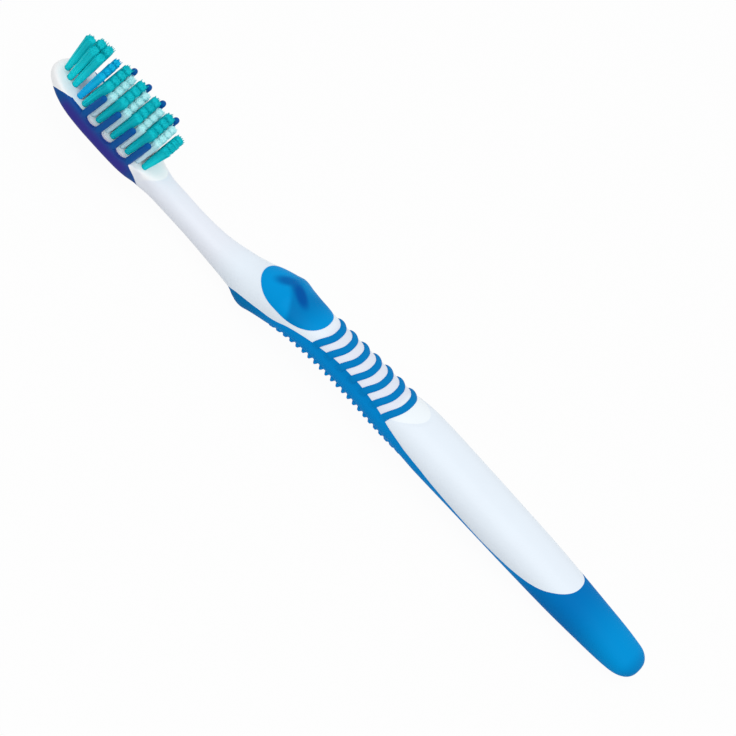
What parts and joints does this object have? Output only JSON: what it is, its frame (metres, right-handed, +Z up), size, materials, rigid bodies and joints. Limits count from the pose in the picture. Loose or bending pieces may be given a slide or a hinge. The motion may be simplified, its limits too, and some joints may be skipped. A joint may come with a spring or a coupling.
{
  "type": "manual toothbrush",
  "caption": "Slim manual toothbrush with a two-colour overmoulded handle, ribbed grip, dished thumb pad, soft head sleeve with gum fingers and a tufted bristle field.",
  "frame": {"origin": "on the table under the middle of the brush as it lies on its back", "axes": "+X from the bristle head to the tail, +Y to the side (the brush is mirror-symmetric about Y = 0), +Z up, the way the bristles point"},
  "size_m": [0.19, 0.0148, 0.0241],
  "materials": {
    "white_plastic": "smooth glossy white polypropylene",
    "blue_grip_rubber": "satin soft-touch blue elastomer",
    "bright_blue_gel": "smooth semi-gloss bright blue elastomer",
    "indigo_rubber": "satin indigo elastomer",
    "anchor_brass": "plain stamped plate",
    "teal_bristle": "fine teal nylon filaments",
    "blue_bristle": "fine blue nylon filaments",
    "clear_bristle": "fine clear nylon filaments"
  },
  "bodies": {
    "root": {"handle_core": "white_plastic", "rear_grip": "blue_grip_rubber", "thumb_pad": "bright_blue_gel", "head_sleeve": "indigo_rubber", "tuft_anchors": "anchor_brass", "point_tuft_1": "teal_bristle", "point_tuft_2": "teal_bristle", "point_tuft_3": "teal_bristle", "point_tuft_4": "teal_bristle", "point_tuft_5": "teal_bristle", "blue_tuft_1": "blue_bristle", "blue_tuft_2": "blue_bristle", "blue_tuft_3": "blue_bristle", "blue_tuft_4": "blue_bristle", "teal_tuft_1_1": "teal_bristle", "teal_tuft_1_2": "teal_bristle", "teal_tuft_1_3": "teal_bristle", "teal_tuft_1_4": "teal_bristle", "teal_tuft_2_1": "teal_bristle", "teal_tuft_2_2": "teal_bristle", "teal_tuft_2_3": "teal_bristle", "teal_tuft_2_4": "teal_bristle", "teal_tuft_3_1": "teal_bristle", "teal_tuft_3_2": "teal_bristle", "teal_tuft_3_3": "teal_bristle", "teal_tuft_3_4": "teal_bristle", "teal_tuft_4_1": "teal_bristle", "teal_tuft_4_2": "teal_bristle", "teal_tuft_4_3": "teal_bristle", "teal_tuft_4_4": "teal_bristle", "clear_tuft_1_1": "clear_bristle", "clear_tuft_1_2": "clear_bristle", "clear_tuft_1_3": "clear_bristle", "clear_tuft_1_4": "clear_bristle", "clear_tuft_2_1": "clear_bristle", "clear_tuft_2_2": "clear_bristle", "clear_tuft_2_3": "clear_bristle", "clear_tuft_2_4": "clear_bristle", "clear_tuft_3_1": "clear_bristle", "clear_tuft_3_2": "clear_bristle", "clear_tuft_3_3": "clear_bristle", "clear_tuft_3_4": "clear_bristle", "clear_tuft_4_1": "clear_bristle", "clear_tuft_4_2": "clear_bristle", "clear_tuft_4_3": "clear_bristle", "clear_tuft_4_4": "clear_bristle", "end_tuft_1": "teal_bristle", "end_tuft_2": "teal_bristle", "end_tuft_3": "teal_bristle", "end_tuft_4": "teal_bristle"}
  },
  "joints": []
}
